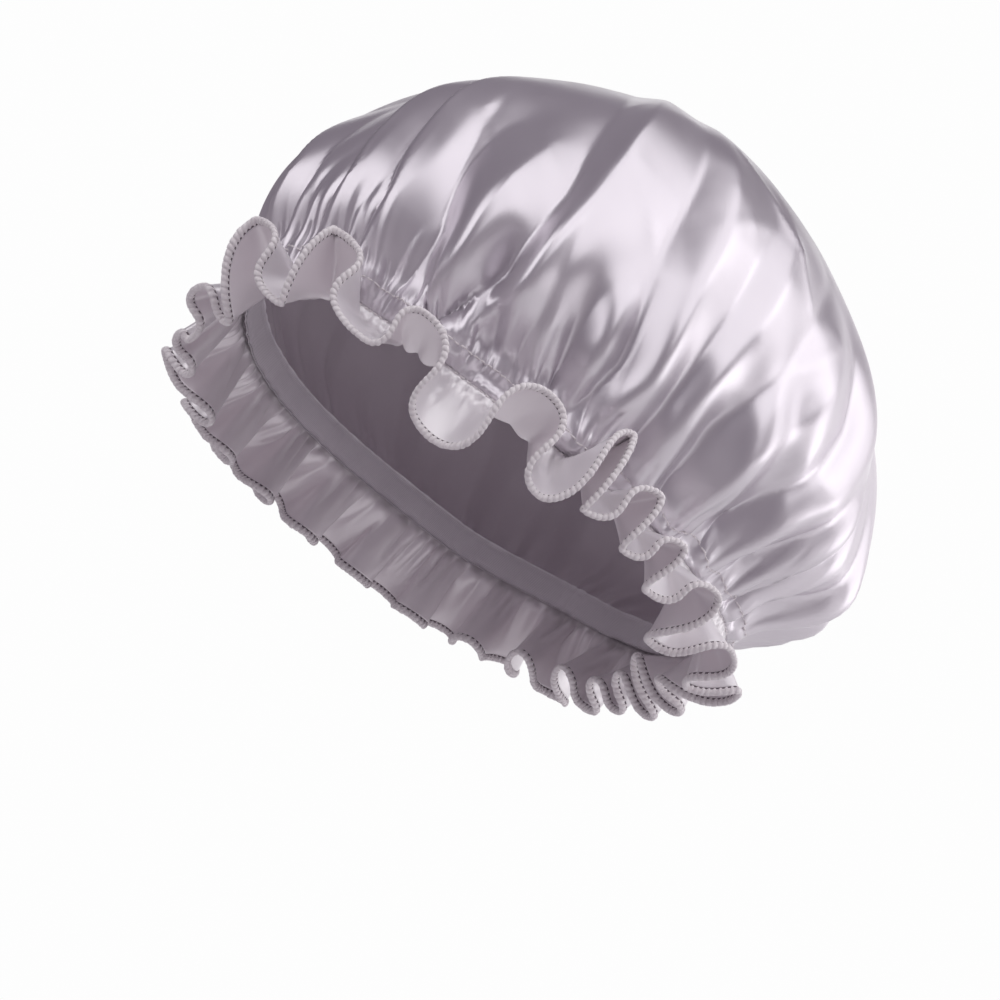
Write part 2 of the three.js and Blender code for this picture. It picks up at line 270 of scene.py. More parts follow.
def summed(values):
    """Running sums along the first axis, from 0."""
    return np.concatenate([np.zeros_like(values[:1]), np.cumsum(values, 0)])


def turn_gap(turns, centre):
    """How far turns are from a centre, the short way round."""
    return (turns - centre + 0.5) % 1 - 0.5


def opening_point(turn):
    angle = TURN * np.asarray(turn)
    x = OPENING_BREADTH / 2 * np.sin(angle) * (1 - BROW_NARROW_SHARE * np.cos(angle))
    y = -OPENING_LENGTH / 2 * np.cos(angle)
    dip = TEMPLE_DIP * np.sin(2 * angle) * np.sin(angle)
    rise = NAPE_RISE * smooth(1 - (1 + np.cos(angle)) / NAPE_REACH_SHARE)
    return np.stack([x, y, rise - dip], -1)


def outward_at(turn):
    along = opening_point(turn + NUDGE) - opening_point(turn - NUDGE)
    return unit(np.stack([along[..., 1], -along[..., 0], np.zeros_like(along[..., 0])], -1))


def hoop_point(turn, inset=0.0, height=0.0):
    point = opening_point(turn) - np.asarray(inset)[..., None] * outward_at(turn)
    point[..., 2] += height
    return point


def dome_reach(direction):
    rise_or_drop = np.where(direction[..., 2] > 0, CROWN_RISE, CROWN_DROP)
    x = direction[..., 0] / (CROWN_BREADTH / 2)
    y = direction[..., 1] / (CROWN_LENGTH / 2)
    z = direction[..., 2] / rise_or_drop
    return 1 / np.sqrt(x * x + y * y + z * z)


def fold_meeting_direction():
    forward = (FOLD_MEETING_FORWARD + CROWN_CENTRE[1]) / (CROWN_LENGTH / 2)
    rise = CROWN_RISE * math.sqrt(1 - forward * forward)
    return unit(np.array([0, -FOLD_MEETING_FORWARD - CROWN_CENTRE[1], rise]))


def crown_base(turn, rise):
    """Smooth dome: rows of rise from 0, at the upper stitch row, to 1, where the folds meet."""
    start = hoop_point(turn, CLOTH_INSET, CASING_HALF_HEIGHT) - CROWN_CENTRE
    near = length(start)
    start = unit(start)
    end = fold_meeting_direction()
    angle = np.arccos(np.clip(start @ end, -1, 1))
    rise = rise[:, None]
    direction = unit(np.sin((1 - rise) * angle)[..., None] * start + np.sin(rise * angle)[..., None] * end)
    at_nape = grown(np.abs(turn_gap(turn, 0)), SIDE_PUFF_END, SIDE_PUFF_FADE)
    share = np.clip(rise / lerp(SIDE_PUFF_SHARE, CROWN_PUFF_SHARE, at_nape), 0, 1)
    puff = lerp(1 - (1 - share) ** 2, smooth(share), at_nape)
    reach = lerp(near, dome_reach(direction), puff)
    return CROWN_CENTRE + direction * reach[..., None]


def grid_normals(points):
    """Normals of a grid of rows that close on themselves along their columns."""
    along = np.roll(points, -1, 1) - np.roll(points, 1, 1)
    across = np.gradient(points, axis=0)
    return unit(np.cross(along, across))


def girths(points):
    return length(np.roll(points, -1, 1) - points).sum(1)


def make_lobes():
    """Edge turn and swing of each crest and trough of the frill, and its turn at the seam."""
    rows = np.reshape(FLUTE_SHARES, (-1, 2)).tolist()
    pitch = (1 + rows[0][0] - NAPE_START_SHARE) / NAPE_FLUTES
    for i in range(NAPE_FLUTES):
        crest = NAPE_START_SHARE + i * pitch
        variety = NAPE_VARIETY_SHARE * math.sin(crest * TURN * NAPE_FLUTES / 2)
        tuck = NAPE_TUCK_SHARE * faded(crest, NAPE_MIDDLE_SHARE, NAPE_TUCK_END_SHARE - NAPE_MIDDLE_SHARE)
        rows.append((crest, NAPE_CREST_SHARE + variety - tuck))
        rows.append((crest + pitch * (1 + variety) / 2, NAPE_TROUGH_SHARE - variety - tuck))
    edge, swing = np.array(rows).T
    return edge, swing * RIGHT_ANGLE, evened(evened(edge))


def evened(turns):
    before = np.roll(turns, 1)
    after = np.roll(turns, -1)
    before[0] -= 1
    after[-1] += 1
    return (before + 2 * turns + after) / 4


def meander(share):
    """Half of a sine-generated curve: how far along and across it has come at a share of its length."""
    steps = np.linspace(0, 1, MEANDER_POINTS)
    lean = FRILL_LEAN * np.sin(math.pi * (steps[:-1] + steps[1:]) / 2)
    along, across = summed(np.cos(lean)), summed(np.sin(lean))
    return np.interp(share, steps, along / along[-1]), np.interp(share, steps, across / across[-1])


def frill_surface(columns, depths):
    """Middle surface of the frill: rows from the seam, at depth 0, to the free edge, at depth 1."""
    edge, swing, seam = make_lobes()
    count = len(edge)
    steps = np.arange(columns) * count / columns
    start = np.minimum(np.floor(steps).astype(int), count - 1)
    end = (start + 1) % count
    share = steps - start
    along, across = meander(share)
    depth = depths[:, None]
    from_turn = lerp(seam[start], edge[start], depth)
    to_turn = lerp(seam[end], edge[end], depth) + (end == 0)
    turn = lerp(from_turn, to_turn, lerp(share, along, np.sin(depth * RIGHT_ANGLE)))
    swung = lerp(swing[start], swing[end], across)
    fine = np.linspace(0, 1, CURL_POINTS)
    middle = (fine[:-1] + fine[1:]) / 2
    angle = swung * smooth(middle / FRILL_CURL_SHARE)[:, None]
    down, out = summed(np.cos(angle)) / len(middle), summed(np.sin(angle)) / len(middle)
    at = np.clip(np.searchsorted(fine, depths), 0, len(fine) - 1)
    point = hoop_point(turn, CLOTH_INSET, -CASING_HALF_HEIGHT)
    point[..., 2] -= FRILL_FLAT_WIDTH * down[at]
    point += FRILL_FLAT_WIDTH * out[at][..., None] * outward_at(turn)
    return point, turn


# Main folds are blunt on top, with straight flanks that end in a soft foot and widen with the rise. A growth
# or a fade is a start and a span of the rise, or of the fold's own reach for FOLD_FADE.
FOLD_BLUNT_SHARES = [0.25, 0.5]
FOLD_BLUNTNESS = [0.00192, 0.00144]
FOLD_FLANK = 1.7
FOLD_FOOT = 0.12
FOLD_JOIN = 7
FOLD_START_SHARE = 0.42
FOLD_GROWTH = (-0.03, 0.05)
FOLD_FADE = (0.5, 0.5)
LOW_FOLD_SHARE = 0.35
LOW_FOLD_FADE = (0, 0.3)
VALLEY_START_SHARE = 0.7
VALLEY_GROWTH = (-0.01, 0.04)
POCKET_GROWTH = (0, 0.04)
LEVEL_GROWTH = (0, 0.05)
FOLD_SHARE = 0.88
CROWN_SLACK = 0.0003
SLACK_GROWTH = (0, 0.08)
SLACK_FADE = (0.5, 0.25)
CROWN_CLIMB = 0.19


def far_folds():
    """Chance folds in the form of FOLDS, long and short ones by turns."""
    chance = np.random.RandomState(FAR_FOLDS_SEED)
    folds = []
    for i in range(FAR_FOLDS):
        jitter = chance.uniform(-FAR_FOLD_JITTER, FAR_FOLD_JITTER)
        start = FAR_FOLDS_START + (i + jitter) * FAR_FOLDS_SPAN / FAR_FOLDS
        reaches, heights = (LONG_FAR_FOLDS, SHORT_FAR_FOLDS)[i % 2]
        reach = chance.uniform(*reaches)
        height = chance.uniform(*heights)
        drift = chance.uniform(-FAR_FOLD_DRIFT, FAR_FOLD_DRIFT)
        sides = chance.uniform(*FAR_FOLD_SIDES, 2)
        folds.append((*[start + share * drift for share in FAR_FOLD_DRIFT_SHARES], reach, height, *sides))
    return folds


def off_line(turns, rises, girth, places):
    """Distance across from the line that runs through places at the fold stations."""
    return turn_gap(turns, np.interp(rises, FOLD_STATION_SHARES, places)) * girth


def blunted(distance, bluntness):
    return np.sqrt(distance ** 2 + bluntness ** 2) - bluntness


def ridges(turns, rises, girth):
    """Height of the main folds, each joined softly to the next."""
    blunt = np.interp(rises, FOLD_BLUNT_SHARES, FOLD_BLUNTNESS)
    low = 1 + LOW_FOLD_SHARE * faded(rises, *LOW_FOLD_FADE)
    field = 0
    for *places, reach, height, brow_side, nape_side in FOLDS + far_folds():
        across = off_line(turns, rises, girth, places)
        share = rises / reach
        wide = np.where(across < 0, brow_side, nape_side) * (FOLD_START_SHARE + share)
        flank = 1 - blunted(across, blunt) / (wide * FOLD_FLANK)
        ridge = (flank + np.sqrt(flank ** 2 + FOLD_FOOT ** 2)) / 2
        grow = grown(rises, *FOLD_GROWTH) * faded(share, *FOLD_FADE) * low
        field += (height * grow * ridge) ** FOLD_JOIN
    return field ** (1 / FOLD_JOIN)


def hollows(turns, rises, girth):
    """Depth of the valleys where folds meet, and of the pockets between them."""
    field = 0
    for *places, reach, depth, half_width in VALLEYS:
        across = off_line(turns, rises, girth, places)
        wide = half_width * (VALLEY_START_SHARE + rises / reach)
        grow = grown(rises, *VALLEY_GROWTH) * faded(rises / reach, *FOLD_FADE)
        field += depth * grow * np.exp(-blunted(across, VALLEY_BLUNTNESS) / wide)
    for turn, rise, half_reach, half_width, depth in POCKETS:
        across = turn_gap(turns, turn) * girth / half_width
        along = (rises - rise) / half_reach
        field += depth * np.exp(-across ** 2 - along ** 2) * grown(rises, *POCKET_GROWTH)
    return field


def storage_creases(turns, rises, girth):
    field = 0
    for turn, rise, end_turn, end_rise, height, half_width in CREASES:
        middle = np.interp((rise + end_rise) / 2, rises[:, 0], girth[:, 0])
        across = turn_gap(turns, turn) * middle
        along = (rises - rise) * CROWN_CLIMB
        run = np.array([(end_turn - turn) * middle, (end_rise - rise) * CROWN_CLIMB])
        share = np.clip((across * run[0] + along * run[1]) / (run @ run), 0, 1)
        off = np.hypot(across - share * run[0], along - share * run[1])
        field += height * np.exp(-off / half_width)
    return field


def fold_field(turns, rises, girth):
    """Height of all folds over the dome; rises and girth stand in a column."""
    field = ridges(turns, rises, girth) - hollows(turns, rises, girth)
    field -= field.mean(1, keepdims=True) * grown(rises, *LEVEL_GROWTH)
    slack = CROWN_SLACK * grown(rises, *SLACK_GROWTH) * faded(rises, *SLACK_FADE)
    return field * FOLD_SHARE - slack + storage_creases(turns, rises, girth)


# Small chance folds: how many waves a row has room for, and their heights, at rising stations
SMALL_FOLDS_SEED = 5
SMALL_FOLD_WAVES = range(14, 70)
SMALL_FOLD_LEAN = 1.5
SMALL_FOLD_CUT = 8
SMALL_FOLD_ROOM = ([0, 0.1, 0.25, 0.45, 1], [62, 46, 30, 20, 12])
SMALL_FOLD_HEIGHTS = ([0, 0.05, 0.2, 0.5, 0.8], [0, 0.00025, 0.0002, 0.000075, 0])

# Settling: surplus width and room for folds at rising stations, and how much of an error a step takes away
SURPLUS = ([0, 0.04, 0.1, 0.2, 0.3, 0.5, 0.75], [0.03, 0.06, 0.06, 0.05, 0.03, 0.01, 0])
FOLD_ROOM = ([0, 0.05, 0.12, 0.25, 0.5, 1], [50, 38, 28, 22, 18, 16])
SETTLING_STEPS = 120
ACROSS_PULL = 0.9
UP_PULL = 0.7
BEND_PULL = 0.2
STIFFNESS = 0.02
STIFFNESS_CUT = 6
HELD_WAVES = 7
HELD_SHARE = 0.7
MAIN_FOLD_HOLD = 0.995
HELD_TOP_ROWS = 3


def small_folds(turns, rises):
    """Chance folds that run up the dome, many at the elastic and few at the top."""
    chance = np.random.RandomState(SMALL_FOLDS_SEED)
    room = np.interp(rises, *SMALL_FOLD_ROOM)
    field = 0
    for waves in SMALL_FOLD_WAVES:
        phase = chance.uniform(0, TURN)
        size = chance.normal(0, 1) / (1 + (waves / room) ** SMALL_FOLD_CUT)
        lean = chance.uniform(-SMALL_FOLD_LEAN, SMALL_FOLD_LEAN)
        field += size * np.cos(TURN * waves * turns + phase + lean * rises)
    return field * np.interp(rises, *SMALL_FOLD_HEIGHTS)


def pull(points, free, first, second, rest, stiffness):
    """Moves two sets of grid points along the line between them, towards their rest distance."""
    gap = points[second] - points[first]
    apart = np.maximum(length(gap), TINY)
    move = gap * ((apart - rest) / apart * stiffness / 2)[..., None]
    points[first] += move * free[first][..., None]
    points[second] -= move * free[second][..., None]


def settled_cloth(shape, start, surplus, free, room):
    """Cloth with more width than its surface, settled over it.

    shape is the surface with its main folds, which the cloth keeps to, and start the folded cloth. surplus is
    each row's width over the surface's, and free is 0 where the cloth is held. room is how many folds a row
    takes before they turn stiff."""
    rows, columns = shape.shape[:2]
    points = start.copy()
    width = length(np.roll(shape, -1, 1) - shape) * surplus
    height = length(shape[1:] - shape[:-1])
    waves = np.arange(columns // 2 + 1)
    kept = np.where(waves <= HELD_WAVES, HELD_SHARE, MAIN_FOLD_HOLD)
    kept = kept / (1 + STIFFNESS * (waves / room) ** STIFFNESS_CUT)
    even = (slice(None), slice(0, None, 2))
    odd = (slice(None), slice(1, None, 2))
    for _ in range(SETTLING_STEPS):
        for offset in (0, 1):
            shifted = np.roll(points, -offset, 1)
            rest = np.roll(width, -offset, 1)[even]
            pull(shifted, np.roll(free, -offset, 1), even, odd, rest, ACROSS_PULL)
            points = np.roll(shifted, offset, 1)
        for offset in (0, 1):
            last = offset + (rows - offset) // 2 * 2
            low = slice(offset, last, 2)
            high = slice(offset + 1, last, 2)
            pull(points, free, low, high, height[low], UP_PULL)
        bend = points[2:] + points[:-2] - 2 * points[1:-1]
        points[1:-1] += BEND_PULL * bend * free[1:-1][..., None]
        apart = np.fft.rfft(points - shape, axis=1) * kept[..., None]
        points = lerp(points, shape + np.fft.irfft(apart, columns, axis=1), free[..., None])
    return points


def add_mesh(name, points, faces, flat=None):
    """faces holds (n, k) arrays, each of faces with k corners; flat is where points lie on flat cloth."""
    mesh = bpy.data.meshes.new(name)
    mesh.from_pydata(points.reshape(-1, 3).tolist(), [], [face for kind in faces for face in kind.tolist()])
    mesh.shade_smooth()
    if flat is not None:
        corners = np.zeros(len(mesh.loops), dtype=np.int32)
        mesh.loops.foreach_get("vertex_index", corners)
        layer = mesh.uv_layers.new(name=CLOTH_PLACE)
        layer.data.foreach_set("uv", flat[corners].astype(np.float32).reshape(-1))
    mesh.validate()
    piece = bpy.data.objects.new(name, mesh)
    bpy.context.collection.objects.link(piece)
    return piece


def rows_to_faces(rows):
    """Faces between closed rows of point numbers; each has as many as the one before it, half, or one."""
    quads = []
    triangles = []
    for low, high in zip(rows[:-1], rows[1:]):
        after = np.roll(low, -1)
        if len(high) == len(low):
            quads.append(np.stack([low, after, np.roll(high, -1), high], 1))
        elif len(high) == 1:
            triangles.append(np.stack([low, after, np.full(len(low), high[0])], 1))
        else:
            odd = low[1::2]
            next_even = np.roll(low, -2)[::2]
            triangles.append(np.stack([low[::2], odd, high], 1))
            triangles.append(np.stack([odd, np.roll(high, -1), high], 1))
            triangles.append(np.stack([odd, next_even, np.roll(high, -1)], 1))
    return quads, triangles


def add_piece(name, points, faces, flat=None):
    """Piece of the cap, turned from the plane of the opening to the frame's own axes."""
    x, y, z = points[..., 0], points[..., 1], points[..., 2]
    across, up = math.cos(OPENING_TILT), math.sin(OPENING_TILT)
    return add_mesh(name, np.stack([x, y * across + z * up, z * across - y * up], -1), faces, flat)


def thin_sheet(name, rows, outer, inner, radii):
    """Closed sheet between two offsets from rows of (points, normals), cut from a disc at these radii."""
    points = [place + normal * offset for offset in (outer, inner) for place, normal in rows]
    starts = np.cumsum([0] + [len(place) for place, _ in rows])
    numbers = [np.arange(start, end) for start, end in zip(starts[:-1], starts[1:])]
    flat = []
    for row, radius in zip(numbers, radii):
        angle = TURN * np.arange(len(row)) / len(row)
        flat.append(radius * np.stack([np.cos(angle), np.sin(angle)], -1))
    skin = starts[-1]
    quads, triangles = [
        faces + [(f + skin)[:, ::-1] for f in faces] for faces in rows_to_faces(numbers)
    ]
    for row, order in ((numbers[0], -1), (numbers[-1], 1)):
        if len(row) > 1:
            after = np.roll(row, -1)
            quads.append(np.stack([row, after, after + skin, row + skin], 1)[:, ::order])
    faces = [np.concatenate(kind) for kind in (quads, triangles) if kind]
    return add_piece(name, np.concatenate(points), faces, np.concatenate(flat * 2))


# Waves round the opening: how many, the sines that make them drift, their level, and the sines that vary it.
# A sine is a size, a number of waves and a start. Gathers are the fine pleats that the elastic draws in,
# creases fan out over the flutes, and puckers lie close to the stitches.
GATHERS = (84, [(1.44, 5, 0.13), (1.12, 13, 0.4), (0.8, 29, 0.71)], 0.64, [(0.2, 17, 0.2), (0.16, 47, 0.6)])
FRILL_CREASES = (118, [(1.54, 7, 0.33), (1.12, 19, 0.1)], 0.75, [(0.25, 11, 0.8)])
PUCKERS = (197, [(1.2, 9, 0.2), (0.9, 23, 0.5)], 0.6, [(0.25, 31, 0.4), (0.15, 53, 0.1)])
GATHER_HEIGHT = 0.0016
GATHER_HOLLOW = 0.0002
GATHER_FADE = (0, 0.042)
PUCKER_HEIGHT = 0.0009


def sines(turn, parts):
    return sum(size * np.sin(TURN * (waves * turn + start)) for size, waves, start in parts)


def ripple(turn, count, drift, level, variety, sharp_crests=False):
    """Bumps of uneven width and height, from 0 to 1, with sharp valleys or sharp crests."""
    wave = np.abs(np.sin(TURN * count * turn / 2 + sines(turn, drift)))
    return (1 - wave if sharp_crests else wave) * (level + sines(turn, variety))


# Crown: columns and rows of the dome, and rows over the elastic. HEADING_PLACE and PUCKER_PLACE are a middle
# and a spread between the lower stitch row, 0, and the upper one, 1.
CROWN_COLUMNS = 480
CROWN_ROWS = 72
CROWN_TOP_SHARE = 0.97
CASING_ROWS = 8
FINE_REACH = 0.014
SEAM_PLEAT_SHARE = 0.6
CROWN_PLEAT_SHARE = 1.5
CASING_PUFF_SHARE = -0.35
HEADING_SHARE = 0.7
HEADING_PLACE = (0.16, 0.1)
PUCKER_PLACE = (0.22, 0.2)
LINE_PUCKER_HEIGHT = 0.0013
LINE_PUCKER_GROWTH = (0.6, 0.4)
LINE_PUCKER_FADE = (0, 0.004)
CASING_FOOT_SHARE = 2 / 3


def settled_crown(turns, rises):
    """Smooth dome, and the same with all its folds."""
    base = crown_base(turns, rises)
    normals = grid_normals(base)
    rises = rises[:, None]
    shape = base + normals * fold_field(turns, rises, girths(base)[:, None])[..., None]
    start = shape + normals * small_folds(turns, rises)[..., None]
    free = np.ones(start.shape[:2])
    free[0] = 0
    free[-HELD_TOP_ROWS:] = 0
    surplus = 1 + np.interp(rises, *SURPLUS)
    return base, settled_cloth(shape, start, surplus, free, np.interp(rises, *FOLD_ROOM))


def bell(value, middle, spread):
    return math.exp(-(((value - middle) / spread) ** 2))


def casing_rows(turns, foot):
    """Rows of cloth over the elastic. The foot is how far the upper one has to move to meet the dome."""
    rows = []
    for i in range(CASING_ROWS):
        share = i / CASING_ROWS
        off_stitches = min(i, 1)
        place = hoop_point(turns, CLOTH_INSET, CASING_HALF_HEIGHT * (2 * share - 1))
        puff = lerp(SEAM_PLEAT_SHARE, CROWN_PLEAT_SHARE, share)
        puff += CASING_PUFF_SHARE * math.sin(math.pi * share)
        puff += HEADING_SHARE * bell(share, *HEADING_PLACE) * off_stitches
        pucker = PUCKER_HEIGHT * bell(share, *PUCKER_PLACE) * off_stitches
        pucker += LINE_PUCKER_HEIGHT * grown(share, *LINE_PUCKER_GROWTH)
        lift = ripple(turns, *GATHERS) * puff * GATHER_HEIGHT - GATHER_HOLLOW
        lift += ripple(turns, *PUCKERS) * pucker
        rows.append(place + outward_at(turns) * lift[:, None] + foot * smooth(share / CASING_FOOT_SHARE))
    return rows


def doubled(values, middles):
    """Row with twice the columns: each value, then the one halfway to the next."""
    return np.stack([values, middles], 1).reshape(-1, 3)


def curve_middles(row):
    """Points halfway between those of a closed row, each on the cubic through the two on either side."""
    ahead = np.roll(row, -1, 0)
    return (9 * (row + ahead) - np.roll(row, 1, 0) - np.roll(ahead, -1, 0)) / 16


def pleated_rows(settled, normals, run, turns):
    """Rows of the dome with their pleats: the fine ones near the elastic, then the others."""
    fine = []
    coarse = []
    for row, normal, height in zip(settled, normals, run):
        share = CROWN_PLEAT_SHARE * faded(height, *GATHER_FADE)
        pleat = ripple(turns, *GATHERS) * share * GATHER_HEIGHT - GATHER_HOLLOW
        if height < FINE_REACH:
            pucker = LINE_PUCKER_HEIGHT * faded(height, *LINE_PUCKER_FADE) * ripple(turns, *PUCKERS)
            normal = unit(doubled(normal, normal + np.roll(normal, -1, 0)))
            fine.append(doubled(row, curve_middles(row)) + normal * (pleat + pucker)[:, None])
        else:
            coarse.append(row + normal * pleat[::2, None])
    return fine, coarse


def crown_rows():
    """Rows of (points, normals) of the crown's middle surface, from the lower stitch row to the tip."""
    turns = np.arange(CROWN_COLUMNS) / CROWN_COLUMNS
    seam_turns = np.arange(2 * CROWN_COLUMNS) / (2 * CROWN_COLUMNS)
    base, settled = settled_crown(turns, np.linspace(0, CROWN_TOP_SHARE, CROWN_ROWS))
    foot = settled[0] - base[0]
    foot = doubled(foot, (foot + np.roll(foot, -1, 0)) / 2)
    step = length(np.diff(settled, axis=0)).mean(1)
    run = summed(step)
    normals = grid_normals(settled)
    normals[0] = outward_at(turns)
    fine, coarse = pleated_rows(settled, normals, run, seam_turns)
    fine = np.stack(casing_rows(seam_turns, foot) + fine)
    coarse = np.stack(coarse)
    fine_normals = grid_normals(np.concatenate([fine, np.repeat(coarse[:1], 2, 1)]))[:-1]
    coarse_normals = grid_normals(np.concatenate([fine[-1:, ::2], coarse]))[1:]
    tip = crown_base(np.zeros(1), np.ones(1))[0]
    rows = [*zip(fine, fine_normals), *zip(coarse, coarse_normals), (tip, fold_meeting_direction()[None])]
    casing = CROWN_FLAT_RADIUS + CASING_HALF_HEIGHT * (1 - 2 * np.arange(CASING_ROWS) / CASING_ROWS)
    return rows, [*casing, *(CROWN_FLAT_RADIUS * (1 - run / (run[-1] + step[-1]))), 0]


# Frill: growths and fades are a start and a span of its depth
FRILL_COLUMNS = 1100
FRILL_ROWS = 22
FRILL_GATHER_HEIGHT = 0.0013
FRILL_GATHER_MIDDLE = 0.4
FRILL_GATHER_FADE = (0, 0.2)
FRILL_CREASE_HEIGHT = 0.0021
FRILL_CREASE_MIDDLE = 0.3
FRILL_CREASE_GROWTH = (0, 0.14)
FRILL_CREASE_FADE = (0.35, 0.6)
FRILL_PUCKER_GROWTH = (0, 0.06)
FRILL_PUCKER_FADE = (0.06, 0.14)


def frill_rows():
    """Points and normals of the frill's middle surface, from the seam to the free edge."""
    depths = np.linspace(0, 1, FRILL_ROWS)
    place, turn = frill_surface(FRILL_COLUMNS, depths)
    normals = grid_normals(place)
    facing = np.where((normals[0] * outward_at(turn[0])).sum(-1).mean() < 0, -1, 1)
    depth = depths[:, None]
    wave = ripple(turn, *GATHERS)
    away = grown(depth, *FRILL_CREASE_GROWTH)
    at_seam = wave * SEAM_PLEAT_SHARE * GATHER_HEIGHT - GATHER_HOLLOW
    gathers = lerp(at_seam, (wave - FRILL_GATHER_MIDDLE) * FRILL_GATHER_HEIGHT, away)
    at_stitches = grown(depth, *FRILL_PUCKER_GROWTH) * faded(depth, *FRILL_PUCKER_FADE)
    gathers += at_stitches * ripple(turn, *PUCKERS) * PUCKER_HEIGHT
    creases = ripple(turn, *FRILL_CREASES, sharp_crests=True) - FRILL_CREASE_MIDDLE
    lift = faded(depth, *FRILL_GATHER_FADE) * gathers
    lift += away * faded(depth, *FRILL_CREASE_FADE) * creases * FRILL_CREASE_HEIGHT
    place = place + normals * facing * lift[..., None]
    return place, grid_normals(place) * facing


# Overlock: wrapped thread over the rolled edges, with a near-black tube along its inner side whose colour is
# painted shade in the gaps between the wraps
OVERLOCK_CENTRE = 0.002
OVERLOCK_WRAPS = 780
WRAP_SEED = 11
WRAP_SWAY = 0.06
WRAP_STATIONS = 12
WRAP_SIDES = 6
WRAP_REACH = (0.0012, 0.0008)
WRAP_THICKNESS = 0.0003
WRAP_WIDTHS = (0.001, 0.00046)
ROLL_REACH = (0.00112, 0.00084)
ROLL_OFFSET = 0.0002
ROLL_SIDES = 12
SHADE_LINE_OFFSET = 0.00106
SHADE_LINE_REACH = (0.00042, 0.00056)
SHADE_LINE_SIDES = 8
EDGE_STATIONS = 2400
EDGE_TUCK = 0.0012


def swept(name, sections):
    """Closed tube through sections that come back to the first one."""
    numbers = np.arange(sections[..., 0].size).reshape(sections.shape[:2])
    ahead = np.roll(numbers, -1, 0)
    quads = np.stack([numbers, np.roll(numbers, -1, 1), np.roll(ahead, -1, 1), ahead], -1)
    return add_piece(name, sections, [quads.reshape(-1, 4)])


def on_loop(values, places, wanted):
    """Values of a closed row at wanted places; places has one more than the row, for its way back."""
    closed = np.concatenate([values, values[:1]])
    return np.stack([np.interp(wanted, places, closed[:, k]) for k in range(3)], -1)


def edge_frames(place, normals, count):
    """Points and frames at even steps along the free edge of the frill."""
    edge = place[-1]
    away = unit(edge - place[-2])
    run = summed(length(np.roll(edge, -1, 0) - edge))
    wanted = np.arange(count) * run[-1] / count
    centre = on_loop(edge + away * OVERLOCK_CENTRE, run, wanted)
    return centre, unit(on_loop(away, run, wanted)), unit(on_loop(normals[-1], run, wanted))


def ring(centre, first, second, reach, sides):
    angle = TURN * np.arange(sides) / sides
    along_first = first[:, None] * (reach[0] * np.cos(angle))[None, :, None]
    along_second = second[:, None] * (reach[1] * np.sin(angle))[None, :, None]
    return centre[:, None] + along_first + along_second


def closed_tangents(path):
    return unit(np.roll(path, -1, 0) - np.roll(path, 1, 0))


def wrapped_thread(place, normals):
    """Sections of the thread that winds round the edge, wide outside and narrow at the needle's line."""
    count = OVERLOCK_WRAPS * WRAP_STATIONS
    centre, away, face = edge_frames(place, normals, count)
    wrap = np.arange(count) / WRAP_STATIONS
    sway = np.random.RandomState(WRAP_SEED).normal(0, WRAP_SWAY, OVERLOCK_WRAPS + 1)
    size = 1 + np.interp(wrap, np.arange(OVERLOCK_WRAPS + 1), sway)
    across, up = np.cos(TURN * wrap), np.sin(TURN * wrap)
    path = centre + away * (WRAP_REACH[0] * size * across)[:, None]
    path += face * (WRAP_REACH[1] * size * up)[:, None]
    out = unit(away * (across / WRAP_REACH[0])[:, None] + face * (up / WRAP_REACH[1])[:, None])
    tangent = closed_tangents(path)
    side = unit(np.cross(tangent, out))
    width = lerp(WRAP_WIDTHS[1], WRAP_WIDTHS[0], smooth((across + 1) / 2))[:, None, None]
    section = TURN * np.arange(WRAP_SIDES) / WRAP_SIDES
    high = (WRAP_THICKNESS * np.cos(section))[None, :, None] * unit(np.cross(side, tangent))[:, None]
    wide = np.sin(section)[None, :, None] * side[:, None] * width
    return path[:, None] + high + wide


# Casing: the elastic lies between the lining and a tape, which two rows of stitches hold
STRIP_STATIONS = 1900
OPENING_ROUND = 0.573
ELASTIC_INSET = 0.0015
ELASTIC_THICKNESS = 0.001
ELASTIC_WIDTH = 0.006
ELASTIC_LAP = 0.014
ELASTIC_RIBS = 7
RIB_ROWS = 3
RIB_HOLLOW = 0.00028
LAP_STEP = 0.0014
TAPE_INSET = 0.0029
TAPE_THICKNESS = 0.0004
TAPE_SELVEDGE = 0.0014
TAPE_END_GAP = 0.0006
TAPE_ROWS = 15
TAPE_PUCKER = 0.0005
TAPE_PUCKER_MIDDLE = 0.5
SELVEDGE_PUCKER_SHARE = 1.5
CASING_PUCKER_SHARE = 0.7
STITCHED_REACH = 0.0007
STITCHED_SHARE = 0.75
STITCHED_DEPTH = 0.0002
STITCHES = 250
STITCH_STATIONS = 10
STITCH_SIDES = 6
STITCH_RADIUS = 0.00032
STITCH_LIFT = 0.0003
STITCH_SQUARENESS = 0.5


def strip(name, turns, heights, front, back):
    """Strip that stands upright on the inside of the cap, with open ends, between two grids of insets."""
    columns, count = len(turns), len(heights)
    size = count * columns
    points = [hoop_point(turns, row, height) for grid in (front, back) for row, height in zip(grid, heights)]
    run = (turns - turns[0]) * OPENING_ROUND
    flat = np.stack([np.tile(run, count), np.repeat(heights, columns)], -1)
    numbers = np.arange(size).reshape(count, columns)
    quads = np.stack([numbers[:-1, :-1], numbers[:-1, 1:], numbers[1:, 1:], numbers[1:, :-1]], -1)
    quads = quads.reshape(-1, 4)
    rim = np.concatenate([numbers[0], numbers[1:, -1], numbers[-1, -2::-1], numbers[-2:0:-1, 0]])
    rim_after = np.roll(rim, -1)
    rim_quads = np.stack([rim + size, rim_after + size, rim_after, rim], -1)
    faces = np.concatenate([quads, (quads + size)[:, ::-1], rim_quads[:, ::-1]])
    return add_piece(name, np.stack(points), [faces], np.concatenate([flat, flat]))


